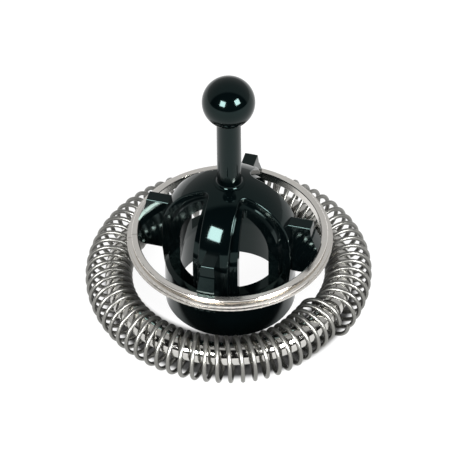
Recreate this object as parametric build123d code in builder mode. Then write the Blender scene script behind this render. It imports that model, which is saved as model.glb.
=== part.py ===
"""Lift-out whisk of a magnetically driven milk frother, with its froth ring lying round its foot.

Millimetres, +Z up.  The origin is on the whisk's axis, in the plane that everything stands on.
The four ribs lie along +X, -X, +Y and -Y.
"""
from build123d import *
import os
from math import cos, degrees, hypot, pi, radians, sin

os.makedirs("parts", exist_ok=True)

# ---------------------------------------------------------------- driving dimensions
axis_z = Axis((0, 0, 0), (0, 0, 1))
tiny = 0.01

# froth coil: one wire wound in a ring, standing on the table
coil_ring_radius = 23.9          # centreline of the coil's tube
ring_centre = (-0.25, -0.07)    # the froth ring lies loose, a little off the whisk's axis
coil_wire_radius = 0.42
coil_winding_radius = 4.29       # from the tube's centreline to the wire's centre
coil_turns = 70
coil_end_angle = -17.5           # middle of the joint between the coil's two ends
coil_end_gap = 1.2               # angle left between the two ends
coil_lead_in = 50.0              # angle over which each end leaves the circle
coil_inner_end_shift = 2.1       # how far the near end sits inside the circle
coil_outer_end_shift = 0.5       # the same for the far end

# hoop that the coil is threaded on: a bent tube with a pin in its butt joint
hoop_ring_radius = 22.4
hoop_tube_radius = 2.3
hoop_bore_radius = 1.9
hoop_height = 4.7
hoop_seam_angle = 160.0          # where the tube's two ends meet
hoop_seam_gap = 0.25             # angle between the tube's two ends
hoop_pin_half_arc = 9.0          # angle that the pin reaches into each end

# collar: the whisk's foot, a ring that holds the drive magnets
collar_outer_radius = 13.0
collar_height = 10.9
collar_well_radius = 10.6        # inside, just above the cap
collar_shoulder_radius = 12.2    # top edge of the chamfer round the outside
collar_shoulder_drop = 0.9
collar_foot_chamfer = 0.25
rebate_radius = 11.05            # seat in the collar's top for the cage's base ring
rebate_depth = 1.2

magnet_count = 8
magnet_inner_radius = 11.5
magnet_outer_radius = 12.4
magnet_arc = 24.0
magnet_bottom = 1.05
magnet_height = 7.0
magnet_clearance = 0.04

cap_inner_radius = 11.4
cap_outer_radius = 12.6
cap_thickness = 1.0

# cage: hub and four stepped ribs on a sphere that runs on down as a cylinder
rib_count = 4
dome_centre = 17.0
band_radius = 13.45              # raised middle band of each rib
ledge_radius = 12.0              # step on each side of the band
body_overlap = 0.5               # how far the bands and the boss run into the ribs
cage_inner_radius = 10.0
band_width = 6.2
ledge_width_at_axis = 6.8        # the ledges widen outward
ledge_width_at_foot = 9.3
band_full_height = 11.9          # below this the band tapers into the collar
band_foot_radius = 13.03
band_foot = 7.5
edge_rounding = 0.3
band_web_radius = 1.6            # rounding, in plan, where two bands meet at the hub
ledge_web_radius = 0.8
hub_seat_radius = 3.1            # flat seat cut into the dome for the stem's foot
hub_seat_height = 30.05
boss_radius = 4.3
boss_bottom = 24.1

# bush under the hub that runs on the jug's centre pin
bush_outer_radius = 3.2
bush_bore_radius = 2.0
bush_bore_depth = 3.3
bush_bore_chamfer = 0.3
bush_flange_radius = 3.9
bush_flange_thickness = 0.3
bush_length = 3.7

# stem and ball knob
stem_radius = 2.4
stem_foot_radius = 3.02          # foot disc, with a hollow rounding up to the stem
stem_foot_thickness = 0.12
spigot_radius = 1.5
hub_spigot_length = 1.9
ball_spigot_length = 3.6
ball_radius = 5.2
ball_height = 51.2
ball_flat = 46.5                 # plane where the ball sits on the stem

# clips that carry the rim ring, one on each rib
clip_width_at_bottom = 4.4
clip_width_at_top = 2.6
clip_seat = 12.1                 # flat seat cut into the rib's band
clip_bottom = 11.15
clip_shelf_radius = 18.9         # shelf under the rim ring
clip_barb_radius = 18.35         # barb over the rim ring
clip_top = 22.5
clip_top_radius = 16.75
clip_step_height = 19.95         # small step part way down the snap ramp
clip_step = 0.25
clip_bottom_chamfer = 1.3
clip_rounding = 0.3

# rim ring: rolled steel ring with a stepped, grooved outside
rim_inner_radius = 18.1
rim_outer_radius = 20.4
rim_shoulder_radius = 20.15
rim_lip_radius = 19.45           # upper lip
rim_groove_radius = 19.15        # floor of the groove under the upper lip
rim_bottom = 14.5
rim_flange_top = 14.85           # top of the lower lip
rim_shoulder_bottom = 14.92
rim_shoulder_top = 15.55
rim_groove_bottom = 15.65
rim_groove_top = 15.9
rim_lip_bottom = 16.0
rim_top = 16.5
rim_lip_rounding = 0.28
rim_edge_rounding = 0.1
rim_seam_angle = 197.0
rim_seam_width = 0.09
rim_running_gap = 0.08           # between the ring and its clips


def radial_plane(angle, centre=(0, 0)):
    """Upright plane through a centre: its x runs outward at this angle and its y runs up."""
    outward = (cos(radians(angle)), sin(radians(angle)), 0)
    return Plane(origin=(*centre, 0), x_dir=outward, z_dir=(outward[1], -outward[0], 0))


# ---------------------------------------------------------------- froth coil
def coil_radius_at(angle):
    """Radius of the coil's centreline; each end eases off the circle."""
    from_near_end = (angle - coil_end_angle) % 360 / coil_lead_in
    from_far_end = (coil_end_angle - angle) % 360 / coil_lead_in
    shift = 0
    if from_near_end < 1:
        shift = coil_outer_end_shift * (1 + cos(pi * from_near_end)) / 2
    elif from_far_end < 1:
        shift = coil_inner_end_shift * (1 + cos(pi * from_far_end)) / 2
    return coil_ring_radius - shift


def coil_point(half_turn):
    """Plan position where the wire crosses the coil's mid plane: outside on even half turns."""
    arc = (360 - coil_end_gap) * half_turn / (2 * coil_turns)
    angle = coil_end_angle + coil_end_gap / 2 + arc
    side = coil_winding_radius if half_turn % 2 == 0 else -coil_winding_radius
    radius = coil_radius_at(angle) + side
    return Vector(*ring_centre) + Vector(radius * cos(radians(angle)), radius * sin(radians(angle)))


crossings = [coil_point(half_turn) for half_turn in range(2 * coil_turns + 1)]
widest_half_turn = max((end - start).length for start, end in zip(crossings, crossings[1:]))
coil_height = Vector(0, 0, widest_half_turn / 2 + coil_wire_radius)
half_turns = []
for half_turn in range(2 * coil_turns):
    start, end = crossings[half_turn] + coil_height, crossings[half_turn + 1] + coil_height
    chord = end - start
    upward = Vector(0, 0, 1)
    bow = -upward if half_turn % 2 == 0 else upward
    turn_axis = Axis((start + end) * 0.5, bow.cross(chord))
    with BuildPart() as one_half_turn:
        with BuildSketch(Plane(origin=start, x_dir=chord, z_dir=bow)):
            Circle(coil_wire_radius)
        revolve(axis=turn_axis, revolution_arc=180)
    half_turns.append(one_half_turn.part)

with BuildPart() as froth_coil:
    add(half_turns)
froth_coil.part.label = "froth_coil"
export_step(froth_coil.part, "parts/froth_coil.step")


# ---------------------------------------------------------------- hoop inside the coil
ring_axis = Axis((*ring_centre, 0), (0, 0, 1))
with BuildPart() as hoop_tube:
    with BuildSketch(radial_plane(hoop_seam_angle + hoop_seam_gap / 2, ring_centre)):
        with Locations((hoop_ring_radius, hoop_height)):
            Circle(hoop_tube_radius)
            Circle(hoop_bore_radius, mode=Mode.SUBTRACT)
    revolve(axis=ring_axis, revolution_arc=360 - hoop_seam_gap)
hoop_tube.part.label = "hoop_tube"
export_step(hoop_tube.part, "parts/hoop_tube.step")

with BuildPart() as hoop_joint_pin:
    with BuildSketch(radial_plane(hoop_seam_angle - hoop_pin_half_arc, ring_centre)):
        with Locations((hoop_ring_radius, hoop_height)):
            Circle(hoop_bore_radius)
    revolve(axis=ring_axis, revolution_arc=2 * hoop_pin_half_arc)
hoop_joint_pin.part.label = "hoop_joint_pin"
export_step(hoop_joint_pin.part, "parts/hoop_joint_pin.step")


# ---------------------------------------------------------------- collar and its magnets
def collar_outline(inner_points):
    """Outside of the collar, closed by the points given."""
    Polyline(
        (collar_outer_radius - collar_foot_chamfer, 0),
        (collar_outer_radius, collar_foot_chamfer),
        (collar_outer_radius, collar_height - collar_shoulder_drop),
        (collar_shoulder_radius, collar_height),
        *inner_points,
        close=True,
    )


magnet_middle_radius = (magnet_inner_radius + magnet_outer_radius) / 2
magnet_thickness = magnet_outer_radius - magnet_inner_radius
magnet_angles = [360 * index / magnet_count for index in range(magnet_count)]
pocket_arc = magnet_arc + degrees(2 * magnet_clearance / magnet_inner_radius)
rebate_floor = collar_height - rebate_depth

with BuildPart() as collar:
    with BuildSketch(Plane.XZ):
        with BuildLine():
            collar_outline([
                (rebate_radius, collar_height),
                (rebate_radius, rebate_floor),
                (cage_inner_radius, rebate_floor),
                (collar_well_radius, cap_thickness),
                (cap_inner_radius, cap_thickness),
                (cap_inner_radius, 0),
            ])
        make_face()
    revolve(axis=axis_z)
    with BuildSketch(Plane.XY):
        Circle(cap_outer_radius)
        Circle(cap_inner_radius, mode=Mode.SUBTRACT)
    extrude(amount=cap_thickness, mode=Mode.SUBTRACT)
    for angle in magnet_angles:
        with BuildSketch(radial_plane(angle - pocket_arc / 2)):
            with Locations((magnet_middle_radius, 0)):
                Rectangle(
                    magnet_thickness + 2 * magnet_clearance,
                    magnet_bottom + magnet_height + magnet_clearance,
                    align=(Align.CENTER, Align.MIN),
                )
        revolve(axis=axis_z, revolution_arc=pocket_arc, mode=Mode.SUBTRACT)
collar.part.label = "collar"
export_step(collar.part, "parts/collar.step")

for index, angle in enumerate(magnet_angles):
    with BuildPart() as magnet:
        with BuildSketch(radial_plane(angle - magnet_arc / 2)):
            with Locations((magnet_middle_radius, magnet_bottom)):
                Rectangle(magnet_thickness, magnet_height, align=(Align.CENTER, Align.MIN))
        revolve(axis=axis_z, revolution_arc=magnet_arc)
    magnet.part.label = f"drive_magnet_{index + 1}"
    export_step(magnet.part, f"parts/drive_magnet_{index + 1}.step")

with BuildPart() as base_cap:
    with BuildSketch(Plane.XY):
        Circle(cap_outer_radius)
        Circle(cap_inner_radius, mode=Mode.SUBTRACT)
    extrude(amount=cap_thickness)
base_cap.part.label = "base_cap"
export_step(base_cap.part, "parts/base_cap.step")


# ---------------------------------------------------------------- clips for the rim ring
clip_groove_radius = rim_inner_radius - rim_running_gap
clip_groove_floor = rim_bottom - rim_running_gap
clip_groove_top = rim_top + rim_running_gap
barb_height = clip_barb_radius - clip_groove_radius
step_radius = clip_top_radius + clip_step
clip_sweep = 40                  # wider than the clip, which is then cut to its width


with BuildPart() as clip_master:
    with BuildSketch(radial_plane(-clip_sweep / 2)):
        with BuildLine():
            Polyline(
                (clip_seat, clip_bottom),
                (clip_shelf_radius - clip_bottom_chamfer, clip_bottom),
                (clip_shelf_radius, clip_bottom + clip_bottom_chamfer),
                (clip_shelf_radius, clip_groove_floor),
                (clip_groove_radius, clip_groove_floor),
                (clip_groove_radius, clip_groove_top),
                (clip_barb_radius, clip_groove_top + barb_height),
                (clip_barb_radius, clip_groove_top + 2 * barb_height),
                (step_radius + clip_step, clip_step_height),
                (step_radius, clip_step_height + clip_step / 2),
                (clip_top_radius, clip_top),
                (clip_seat, clip_top),
                close=True,
            )
        make_face()
    revolve(axis=axis_z, revolution_arc=clip_sweep)
    with BuildSketch(Plane.YZ):
        with BuildLine():
            Polyline(
                (-clip_width_at_bottom / 2, clip_bottom),
                (clip_width_at_bottom / 2, clip_bottom),
                (clip_width_at_top / 2, clip_top),
                (-clip_width_at_top / 2, clip_top),
                close=True,
            )
        make_face()
    extrude(amount=rim_outer_radius, mode=Mode.INTERSECT)
    top_edges = clip_master.faces().sort_by(Axis.Z)[-1].edges()
    fillet(top_edges.sort_by(SortBy.DISTANCE)[1:], clip_rounding)

rib_angles = [360 * index / rib_count for index in range(rib_count)]
clips = []
for index, angle in enumerate(rib_angles):
    with BuildPart() as ring_clip:
        add(clip_master.part, rotation=(0, 0, angle))
    ring_clip.part.label = f"ring_clip_{index + 1}"
    export_step(ring_clip.part, f"parts/ring_clip_{index + 1}.step")
    clips.append(ring_clip.part)


# ---------------------------------------------------------------- cage
def dome_shell(outer_radius, inner_radius, foot):
    """Shell of the dome between two radii: a sphere above its centre and a cylinder below."""
    with BuildPart() as shell:
        with BuildSketch(Plane.XZ):
            with BuildLine():
                CenterArc((0, dome_centre), outer_radius, 0, 90)
                Polyline((0, dome_centre + outer_radius), (0, dome_centre + inner_radius))
                CenterArc((0, dome_centre), inner_radius, 0, 90)
                Polyline(
                    (inner_radius, dome_centre),
                    (inner_radius, foot),
                    (outer_radius, foot),
                    (outer_radius, dome_centre),
                )
            make_face()
        revolve(axis=axis_z)
    return shell.part


def rib_cross(width_at_axis, width_at_foot, web_radius):
    """Upright cross in the plan of the ribs, with rounded inner corners."""
    arm = 1.5 * band_radius
    arm_end = (width_at_axis + (width_at_foot - width_at_axis) * arm / ledge_radius) / 2
    with BuildPart() as cross:
        with BuildSketch(Plane.XY) as plan:
            with BuildLine():
                Polyline(
                    (0, width_at_axis / 2),
                    (arm, arm_end),
                    (arm, -arm_end),
                    (0, -width_at_axis / 2),
                    (-arm, -arm_end),
                    (-arm, arm_end),
                    close=True,
                )
            make_face()
            add(plan.sketch, rotation=90)
            corners = plan.vertices()
            fillet(corners.filter_by(lambda corner: hypot(corner.X, corner.Y) < width_at_foot), web_radius)
        extrude(amount=dome_centre + 2 * band_radius)
    return cross.part


def is_band_rim(edge):
    """True for the long outer edges of the raised bands, and not for the seams across them."""
    middle = edge.position_at(0.5)
    reach = hypot(middle.X, middle.Y)
    if middle.Z > dome_centre:
        reach = hypot(reach, middle.Z - dome_centre)
    on_seam = min(abs(middle.Z - dome_centre), abs(middle.Z - band_full_height)) < tiny
    return abs(reach - band_radius) < tiny and not on_seam


with BuildPart() as band_cross:
    add(dome_shell(band_radius, ledge_radius - body_overlap, band_foot))
    add(rib_cross(band_width, band_width, band_web_radius), mode=Mode.INTERSECT)
    with BuildSketch(Plane.XZ):
        with BuildLine():
            Polyline(
                (band_radius, band_full_height),
                (band_foot_radius, band_foot),
                (2 * band_radius, band_foot),
                (2 * band_radius, band_full_height),
                close=True,
            )
        make_face()
    revolve(axis=axis_z, mode=Mode.SUBTRACT)
    with BuildSketch(Plane.XZ):
        with BuildLine():
            collar_outline([(0, collar_height), (0, 0)])
        make_face()
    revolve(axis=axis_z, mode=Mode.SUBTRACT)
    fillet(band_cross.edges().filter_by(is_band_rim), edge_rounding)

with BuildPart() as cage:
    add(dome_shell(ledge_radius, cage_inner_radius, collar_height))
    add(rib_cross(ledge_width_at_axis, ledge_width_at_foot, ledge_web_radius), mode=Mode.INTERSECT)
    with BuildSketch(Plane.XY.offset(rebate_floor)):
        Circle(rebate_radius)
        Circle(cage_inner_radius, mode=Mode.SUBTRACT)
    extrude(amount=rebate_depth)
    add(band_cross.part)
    with BuildSketch(Plane.XY.offset(boss_bottom)):
        Circle(boss_radius)
    extrude(amount=dome_centre + cage_inner_radius + body_overlap - boss_bottom)
    with BuildSketch(Plane.XY.offset(hub_seat_height)):
        Circle(hub_seat_radius)
    extrude(amount=band_radius, mode=Mode.SUBTRACT)
    with BuildSketch(Plane.XY.offset(boss_bottom)):
        Circle(bush_outer_radius)
    extrude(amount=bush_length, mode=Mode.SUBTRACT)
    with BuildSketch(Plane.XY.offset(hub_seat_height)):
        Circle(spigot_radius)
    extrude(amount=-hub_spigot_length, mode=Mode.SUBTRACT)
    add(collar.part, mode=Mode.SUBTRACT)
    add(clips, mode=Mode.SUBTRACT)
cage.part.label = "cage"
export_step(cage.part, "parts/cage.step")


# ---------------------------------------------------------------- bush
with BuildPart() as pivot_bush:
    with BuildSketch(Plane.XY.offset(boss_bottom)):
        Circle(bush_outer_radius)
    extrude(amount=bush_length)
    with BuildSketch(Plane.XY.offset(boss_bottom)):
        Circle(bush_flange_radius)
    extrude(amount=-bush_flange_thickness)
    with BuildSketch(Plane.XY.offset(boss_bottom - bush_flange_thickness)):
        Circle(bush_bore_radius)
    extrude(amount=bush_bore_depth, mode=Mode.SUBTRACT)
    mouth_edges = pivot_bush.edges().filter_by(GeomType.CIRCLE).group_by(Axis.Z)[0]
    chamfer(mouth_edges.sort_by(SortBy.RADIUS)[0], bush_bore_chamfer)
pivot_bush.part.label = "pivot_bush"
export_step(pivot_bush.part, "parts/pivot_bush.step")


# ---------------------------------------------------------------- stem and knob
foot_top = hub_seat_height + stem_foot_thickness
foot_rounding = stem_foot_radius - stem_radius
with BuildPart() as grip_stem:
    with BuildSketch(Plane.XZ):
        with BuildLine():
            Polyline(
                (stem_radius, foot_top + foot_rounding),
                (stem_radius, ball_flat),
                (spigot_radius, ball_flat),
                (spigot_radius, ball_flat + ball_spigot_length),
                (0, ball_flat + ball_spigot_length),
                (0, hub_seat_height - hub_spigot_length),
                (spigot_radius, hub_seat_height - hub_spigot_length),
                (spigot_radius, hub_seat_height),
                (stem_foot_radius, hub_seat_height),
                (stem_foot_radius, foot_top),
            )
            CenterArc((stem_foot_radius, foot_top + foot_rounding), foot_rounding, 180, 90)
        make_face()
    revolve(axis=axis_z)
grip_stem.part.label = "grip_stem"
export_step(grip_stem.part, "parts/grip_stem.step")

with BuildPart() as ball_knob:
    with Locations((0, 0, ball_height)):
        Sphere(ball_radius)
    split(bisect_by=Plane.XY.offset(ball_flat), keep=Keep.TOP)
    with BuildSketch(Plane.XY.offset(ball_flat)):
        Circle(spigot_radius)
    extrude(amount=ball_spigot_length, mode=Mode.SUBTRACT)
ball_knob.part.label = "ball_knob"
export_step(ball_knob.part, "parts/ball_knob.step")


# ---------------------------------------------------------------- rim ring
with BuildPart() as rim_ring:
    with BuildSketch(Plane.XZ) as rim_profile:
        with BuildLine():
            Polyline(
                (rim_inner_radius, rim_bottom),
                (rim_outer_radius, rim_bottom),
                (rim_outer_radius, rim_flange_top),
                (rim_shoulder_radius, rim_shoulder_bottom),
                (rim_shoulder_radius, rim_shoulder_top),
                (rim_groove_radius, rim_groove_bottom),
                (rim_groove_radius, rim_groove_top),
                (rim_lip_radius, rim_lip_bottom),
                (rim_lip_radius, rim_top),
                (rim_inner_radius, rim_top),
                close=True,
            )
        make_face()
        fillet(rim_profile.vertices().group_by(Axis.Y)[-1], rim_lip_rounding)
        fillet(rim_profile.vertices().group_by(Axis.Y)[0], rim_edge_rounding)
    revolve(axis=axis_z)
    with BuildSketch(radial_plane(rim_seam_angle)):
        with Locations(((rim_inner_radius + rim_outer_radius) / 2, (rim_bottom + rim_top) / 2)):
            Rectangle(2 * (rim_outer_radius - rim_inner_radius), 2 * (rim_top - rim_bottom))
    extrude(amount=rim_seam_width / 2, both=True, mode=Mode.SUBTRACT)
rim_ring.part.label = "rim_ring"
export_step(rim_ring.part, "parts/rim_ring.step")
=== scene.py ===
"""Looks for the magnetic frother whisk and its froth ring.  Metres, in the CAD frame.

The CAD pieces are rigid and carry their full shapes, so all of them stay and only get their materials here.
"""
from math import cos, radians, sin, tan

import bpy
from mathutils import Matrix, Vector

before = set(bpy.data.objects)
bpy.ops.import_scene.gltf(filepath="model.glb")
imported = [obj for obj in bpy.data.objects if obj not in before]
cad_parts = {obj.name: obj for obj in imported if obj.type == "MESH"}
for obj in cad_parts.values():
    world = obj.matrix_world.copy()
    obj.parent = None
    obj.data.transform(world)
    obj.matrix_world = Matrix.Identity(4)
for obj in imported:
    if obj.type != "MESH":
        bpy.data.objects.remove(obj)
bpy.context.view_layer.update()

# ---------------------------------------------------------------- camera
IMAGE_SIZE = 458
SENSOR_WIDTH = 36                # millimetres
CLIP_NEAR, CLIP_FAR = 0.05, 20
VIEW_TURN = radians(15.5)        # camera's azimuth, from straight in front (-Y) towards +X
VIEW_ELEVATION = radians(44.0)
VIEW_ROLL = radians(-0.6)
VIEW_DISTANCE = 0.988            # from the aim point
FOCAL_PIXELS = 5000              # pixels per unit of slope, on an image IMAGE_SIZE wide
AIM = Vector((-0.00016, 0.0, 0.0172))    # before the turn about Z

turned = Matrix.Rotation(VIEW_TURN, 3, "Z")
view_right = turned @ Vector((1, 0, 0))
view_up = turned @ Vector((0, sin(VIEW_ELEVATION), cos(VIEW_ELEVATION)))
view_back = view_right.cross(view_up)


def place_camera():
    """The camera, level but for its small roll, looks along -view_back at the aim point."""
    data = bpy.data.cameras.new("camera")
    data.sensor_width = SENSOR_WIDTH
    data.lens = SENSOR_WIDTH * FOCAL_PIXELS / IMAGE_SIZE
    data.clip_start = CLIP_NEAR
    data.clip_end = CLIP_FAR
    camera = bpy.data.objects.new("camera", data)
    bpy.context.scene.collection.objects.link(camera)
    axes = Matrix((view_right, view_up, view_back)).transposed()
    rolled = axes @ Matrix.Rotation(VIEW_ROLL, 3, "Z")
    camera.matrix_world = Matrix.Translation(turned @ AIM + VIEW_DISTANCE * view_back) @ rolled.to_4x4()
    bpy.context.scene.camera = camera


# ---------------------------------------------------------------- floor, backdrop and lights
FLOOR_RADIUS = 3.0
FLOOR_SIDES = 64
FLOOR_GREY = 0.05                # what the floor reflects, besides its own glow
FLOOR_ROUGHNESS = 0.9
FLOOR_GLOW = 0.95
# Painted shadow: the floor's glow is left out in a crescent under the froth coil, set by the circles below.
SHADE_RADIUS = 0.0250            # the glow is left out within this circle under the froth coil,
SHADE_SHIFT = 0.0008             # whose middle lies this far behind the whisk's axis,
LIT_RADIUS = 0.0217              # but stays within this second circle,
LIT_SHIFT = 0.0095               # whose middle lies this far behind the axis
SHADE_SOFTNESS = 0.0008          # half the width of each circle's soft edge
TENT_GREY = 0.6                  # white walls behind and above
ROOM_GREY = 0.006                # dark room on the camera's side
TENT_EDGE = (-0.02, 0.16)        # where the one fades into the other, as a cosine to the camera's side
LAMP_DISTANCE = 1.0
LAMP_WIDTH = 0.38
LAMP_POWER = 22
LAMP_DIRECTIONS = {              # degrees to the right of and above the line to the camera
    "lamp_left": (-25, -8),
    "lamp_right": (37, 0),
}


def circle_edge(nodes, links, shift, radius, inside, outside):
    """One amount within a soft-edged circle on the floor, shift behind the axis, and another outside it."""
    offset = nodes.new("ShaderNodeVectorMath")
    offset.operation = "SUBTRACT"
    offset.inputs[1].default_value = turned @ Vector((0, shift, 0))
    distance = nodes.new("ShaderNodeVectorMath")
    distance.operation = "LENGTH"
    edge = nodes.new("ShaderNodeMapRange")
    edge.interpolation_type = "SMOOTHSTEP"
    edge.inputs["From Min"].default_value = radius - SHADE_SOFTNESS
    edge.inputs["From Max"].default_value = radius + SHADE_SOFTNESS
    edge.inputs["To Min"].default_value = inside
    edge.inputs["To Max"].default_value = outside
    links.new(nodes.new("ShaderNodeTexCoord").outputs["Object"], offset.inputs[0])
    links.new(offset.outputs["Vector"], distance.inputs[0])
    links.new(distance.outputs["Value"], edge.inputs["Value"])
    return edge.outputs["Result"]


def pale_floor_with_painted_shadow():
    """A round pale floor that glows like a light table, but for a painted shadow under the froth coil: a
    dark crescent where the glow is left out.
    """
    mesh = bpy.data.meshes.new("floor")
    angles = [radians(360 * side / FLOOR_SIDES) for side in range(FLOOR_SIDES)]
    ring = [(FLOOR_RADIUS * cos(angle), FLOOR_RADIUS * sin(angle), 0) for angle in angles]
    mesh.from_pydata(ring, [], [list(range(FLOOR_SIDES))])
    floor = bpy.data.objects.new("floor", mesh)
    bpy.context.scene.collection.objects.link(floor)
    material = bpy.data.materials.new("floor")
    material.use_nodes = True
    nodes, links = material.node_tree.nodes, material.node_tree.links
    shader = nodes["Principled BSDF"]
    shader.inputs["Base Color"].default_value = (FLOOR_GREY, FLOOR_GREY, FLOOR_GREY, 1)
    shader.inputs["Emission Color"].default_value = (1, 1, 1, 1)
    # Painted shadow: no glow inside the first circle unless also inside the second, which leaves a dark
    # crescent under the froth coil.
    beyond_coil = circle_edge(nodes, links, SHADE_SHIFT, SHADE_RADIUS, inside=0, outside=FLOOR_GLOW)
    within_ring = circle_edge(nodes, links, LIT_SHIFT, LIT_RADIUS, inside=FLOOR_GLOW, outside=0)
    glow = nodes.new("ShaderNodeMath")
    glow.operation = "MAXIMUM"
    links.new(beyond_coil, glow.inputs[0])
    links.new(within_ring, glow.inputs[1])
    links.new(glow.outputs["Value"], shader.inputs["Emission Strength"])
    shader.inputs["Roughness"].default_value = FLOOR_ROUGHNESS
    mesh.materials.append(material)


def studio_world():
    """White walls behind the object and overhead, and a dark room on the camera's side."""
    world = bpy.data.worlds.new("studio")
    world.use_nodes = True
    nodes, links = world.node_tree.nodes, world.node_tree.links
    coordinates = nodes.new("ShaderNodeTexCoord")
    toward_camera = nodes.new("ShaderNodeVectorMath")
    toward_camera.operation = "DOT_PRODUCT"
    toward_camera.inputs[1].default_value = turned @ Vector((0, -1, 0))
    edge = nodes.new("ShaderNodeMapRange")
    edge.interpolation_type = "SMOOTHSTEP"
    edge.inputs["From Min"].default_value = TENT_EDGE[0]
    edge.inputs["From Max"].default_value = TENT_EDGE[1]
    edge.inputs["To Min"].default_value = TENT_GREY
    edge.inputs["To Max"].default_value = ROOM_GREY
    links.new(coordinates.outputs["Generated"], toward_camera.inputs[0])
    links.new(toward_camera.outputs["Value"], edge.inputs["Value"])
    links.new(edge.outputs["Result"], nodes["Background"].inputs["Color"])
    bpy.context.scene.world = world


def soft_lamps():
    """Two square softboxes beside the camera."""
    for name, (right, up) in LAMP_DIRECTIONS.items():
        direction = view_back + tan(radians(right)) * view_right + tan(radians(up)) * view_up
        direction.normalize()
        data = bpy.data.lights.new(name, "AREA")
        data.shape = "SQUARE"
        data.size = LAMP_WIDTH
        data.energy = LAMP_POWER
        lamp = bpy.data.objects.new(name, data)
        bpy.context.scene.collection.objects.link(lamp)
        lamp.location = turned @ AIM + LAMP_DISTANCE * direction
        lamp.rotation_euler = direction.to_track_quat("Z", "Y").to_euler()


# ---------------------------------------------------------------- materials
MIX_FACTOR, MIX_FIRST_COLOUR, MIX_SECOND_COLOUR = 0, 6, 7    # the mix node's colour inputs
MIX_COLOUR_RESULT = 2


class Painter:
    """Short way to write one Principled material made of noise, ramps and bumps."""

    def __init__(self, name):
        self.material = bpy.data.materials.new(name)
        self.material.use_nodes = True
        self.nodes = self.material.node_tree.nodes
        self.links = self.material.node_tree.links
        self.shader = self.nodes["Principled BSDF"]
        self.position = self.nodes.new("ShaderNodeTexCoord").outputs["Object"]

    def fixed(self, **values):
        for name, value in values.items():
            self.shader.inputs[name.replace("_", " ")].default_value = value

    def noise(self, scale, detail=3.0, where=None):
        texture = self.nodes.new("ShaderNodeTexNoise")
        texture.inputs["Scale"].default_value = scale
        texture.inputs["Detail"].default_value = detail
        self.links.new(where or self.position, texture.inputs["Vector"])
        return texture.outputs["Fac"]

    def spread(self, value, low, high, out_low, out_high):
        ramp = self.nodes.new("ShaderNodeMapRange")
        limits = {"From Min": low, "From Max": high, "To Min": out_low, "To Max": out_high}
        for name, amount in limits.items():
            ramp.inputs[name].default_value = amount
        self.links.new(value, ramp.inputs["Value"])
        return ramp.outputs["Result"]

    def colours(self, value, dark, light):
        mix = self.nodes.new("ShaderNodeMix")
        mix.data_type = "RGBA"
        mix.inputs[MIX_FIRST_COLOUR].default_value = (*dark, 1)
        mix.inputs[MIX_SECOND_COLOUR].default_value = (*light, 1)
        self.links.new(value, mix.inputs[MIX_FACTOR])
        return mix.outputs[MIX_COLOUR_RESULT]

    def bump(self, value, depth):
        bump = self.nodes.new("ShaderNodeBump")
        bump.inputs["Strength"].default_value = 1.0
        bump.inputs["Distance"].default_value = depth
        self.links.new(value, bump.inputs["Height"])
        self.links.new(bump.outputs["Normal"], self.shader.inputs["Normal"])

    def round_the_axis(self, across, along):
        """Coordinates that run round the Z axis: radius and height times across, angle times along."""
        split = self.nodes.new("ShaderNodeSeparateXYZ")
        flat = self.nodes.new("ShaderNodeCombineXYZ")
        radius = self.nodes.new("ShaderNodeVectorMath")
        radius.operation = "LENGTH"
        angle = self.nodes.new("ShaderNodeMath")
        angle.operation = "ARCTAN2"
        joined = self.nodes.new("ShaderNodeCombineXYZ")
        scaled = self.nodes.new("ShaderNodeVectorMath")
        scaled.operation = "MULTIPLY"
        scaled.inputs[1].default_value = (across, across, along)
        self.links.new(self.position, split.inputs["Vector"])
        self.links.new(split.outputs["X"], flat.inputs["X"])
        self.links.new(split.outputs["Y"], flat.inputs["Y"])
        self.links.new(flat.outputs["Vector"], radius.inputs[0])
        self.links.new(split.outputs["Y"], angle.inputs[0])
        self.links.new(split.outputs["X"], angle.inputs[1])
        self.links.new(radius.outputs["Value"], joined.inputs["X"])
        self.links.new(split.outputs["Z"], joined.inputs["Y"])
        self.links.new(angle.outputs["Value"], joined.inputs["Z"])
        self.links.new(joined.outputs["Vector"], scaled.inputs[0])
        return scaled.outputs["Vector"]

    def feed(self, name, value):
        self.links.new(value, self.shader.inputs[name])


def black_plastic(name, roughness, ripple):
    """Moulded black plastic: faint swirl in the colour, hazy patches, and a slight ripple."""
    paint = Painter(name)
    paint.fixed(IOR=1.32, Specular_Tint=(0.64, 0.96, 0.92, 1))
    swirl = paint.noise(scale=220, detail=4)
    haze = paint.noise(scale=90)
    paint.feed("Base Color", paint.colours(swirl, (0.0002, 0.0006, 0.0007), (0.0006, 0.0014, 0.0016)))
    paint.feed("Roughness", paint.spread(haze, 0.35, 0.75, roughness, roughness + 0.07))
    paint.bump(paint.noise(scale=260, detail=2), ripple)
    return paint.material


def drawn_wire():
    """Drawn spring wire, darker than clean stainless: fine draw marks and patches of a faint warm tint."""
    paint = Painter("spring_wire")
    paint.fixed(Metallic=1.0)
    tint = paint.noise(scale=140)
    marks = paint.noise(scale=2600)
    paint.feed("Base Color", paint.colours(tint, (0.17, 0.17, 0.16), (0.24, 0.237, 0.222)))
    paint.feed("Roughness", paint.spread(marks, 0.3, 0.7, 0.32, 0.46))
    paint.bump(marks, depth=0.000004)
    return paint.material


def rolled_steel(name, dark, light, roughness):
    """Rolled steel with fine lines that run round the ring."""
    paint = Painter(name)
    paint.fixed(Metallic=1.0)
    lines = paint.noise(scale=1.0, where=paint.round_the_axis(across=9000, along=6))
    patches = paint.noise(scale=120)
    paint.feed("Base Color", paint.colours(patches, dark, light))
    paint.feed("Roughness", paint.spread(lines, 0.3, 0.7, roughness, roughness + 0.12))
    paint.bump(lines, depth=0.000002)
    return paint.material


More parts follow.
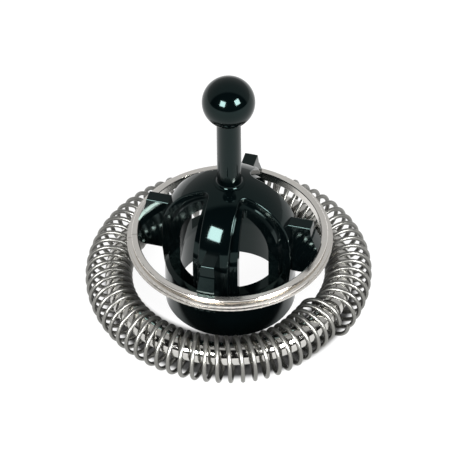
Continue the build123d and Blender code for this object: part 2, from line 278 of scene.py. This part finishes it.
def bush_plastic():
    """Natural acetal, slightly mottled, with lathe lines round the bore."""
    paint = Painter("bush_plastic")
    paint.fixed(IOR=1.48)
    mottle = paint.noise(scale=400)
    lines = paint.noise(scale=1.0, detail=2, where=paint.round_the_axis(across=12000, along=4))
    paint.feed("Base Color", paint.colours(mottle, (0.70, 0.69, 0.64), (0.80, 0.79, 0.75)))
    paint.feed("Roughness", paint.spread(lines, 0.3, 0.7, 0.35, 0.5))
    paint.bump(lines, depth=0.000004)
    return paint.material


def plated_magnet():
    """Nickel plate over sintered metal: grainy, slightly dull."""
    paint = Painter("magnet")
    paint.fixed(Metallic=1.0)
    grain = paint.noise(scale=5000, detail=4)
    stain = paint.noise(scale=300)
    paint.feed("Base Color", paint.colours(stain, (0.48, 0.47, 0.44), (0.62, 0.61, 0.57)))
    paint.feed("Roughness", paint.spread(grain, 0.3, 0.7, 0.28, 0.45))
    paint.bump(grain, depth=0.000005)
    return paint.material


def dress(material, nodes):
    """Gives CAD nodes their material."""
    for node in nodes:
        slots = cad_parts[node].data.materials
        slots.clear()
        slots.append(material)


def paint_everything():
    clips = [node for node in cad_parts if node.startswith("ring_clip_")]
    magnets = [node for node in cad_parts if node.startswith("drive_magnet_")]
    mouldings = ["cage", "collar", "grip_stem", "ball_knob", *clips]
    dress(black_plastic("black_plastic", roughness=0.05, ripple=0.00002), mouldings)
    dress(black_plastic("cap_plastic", roughness=0.22, ripple=0.00004), ["base_cap"])
    dress(drawn_wire(), ["froth_coil"])
    dress(rolled_steel("polished_steel", (0.48, 0.475, 0.45), (0.60, 0.59, 0.56), roughness=0.05),
          ["hoop_tube", "hoop_joint_pin"])
    dress(rolled_steel("rim_steel", (0.70, 0.68, 0.64), (0.80, 0.77, 0.73), roughness=0.10), ["rim_ring"])
    dress(bush_plastic(), ["pivot_bush"])
    dress(plated_magnet(), magnets)
    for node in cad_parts.values():
        for face in node.data.polygons:
            face.use_smooth = True


bpy.context.scene.view_settings.view_transform = "Standard"
place_camera()
studio_world()
pale_floor_with_painted_shadow()
soft_lamps()
paint_everything()
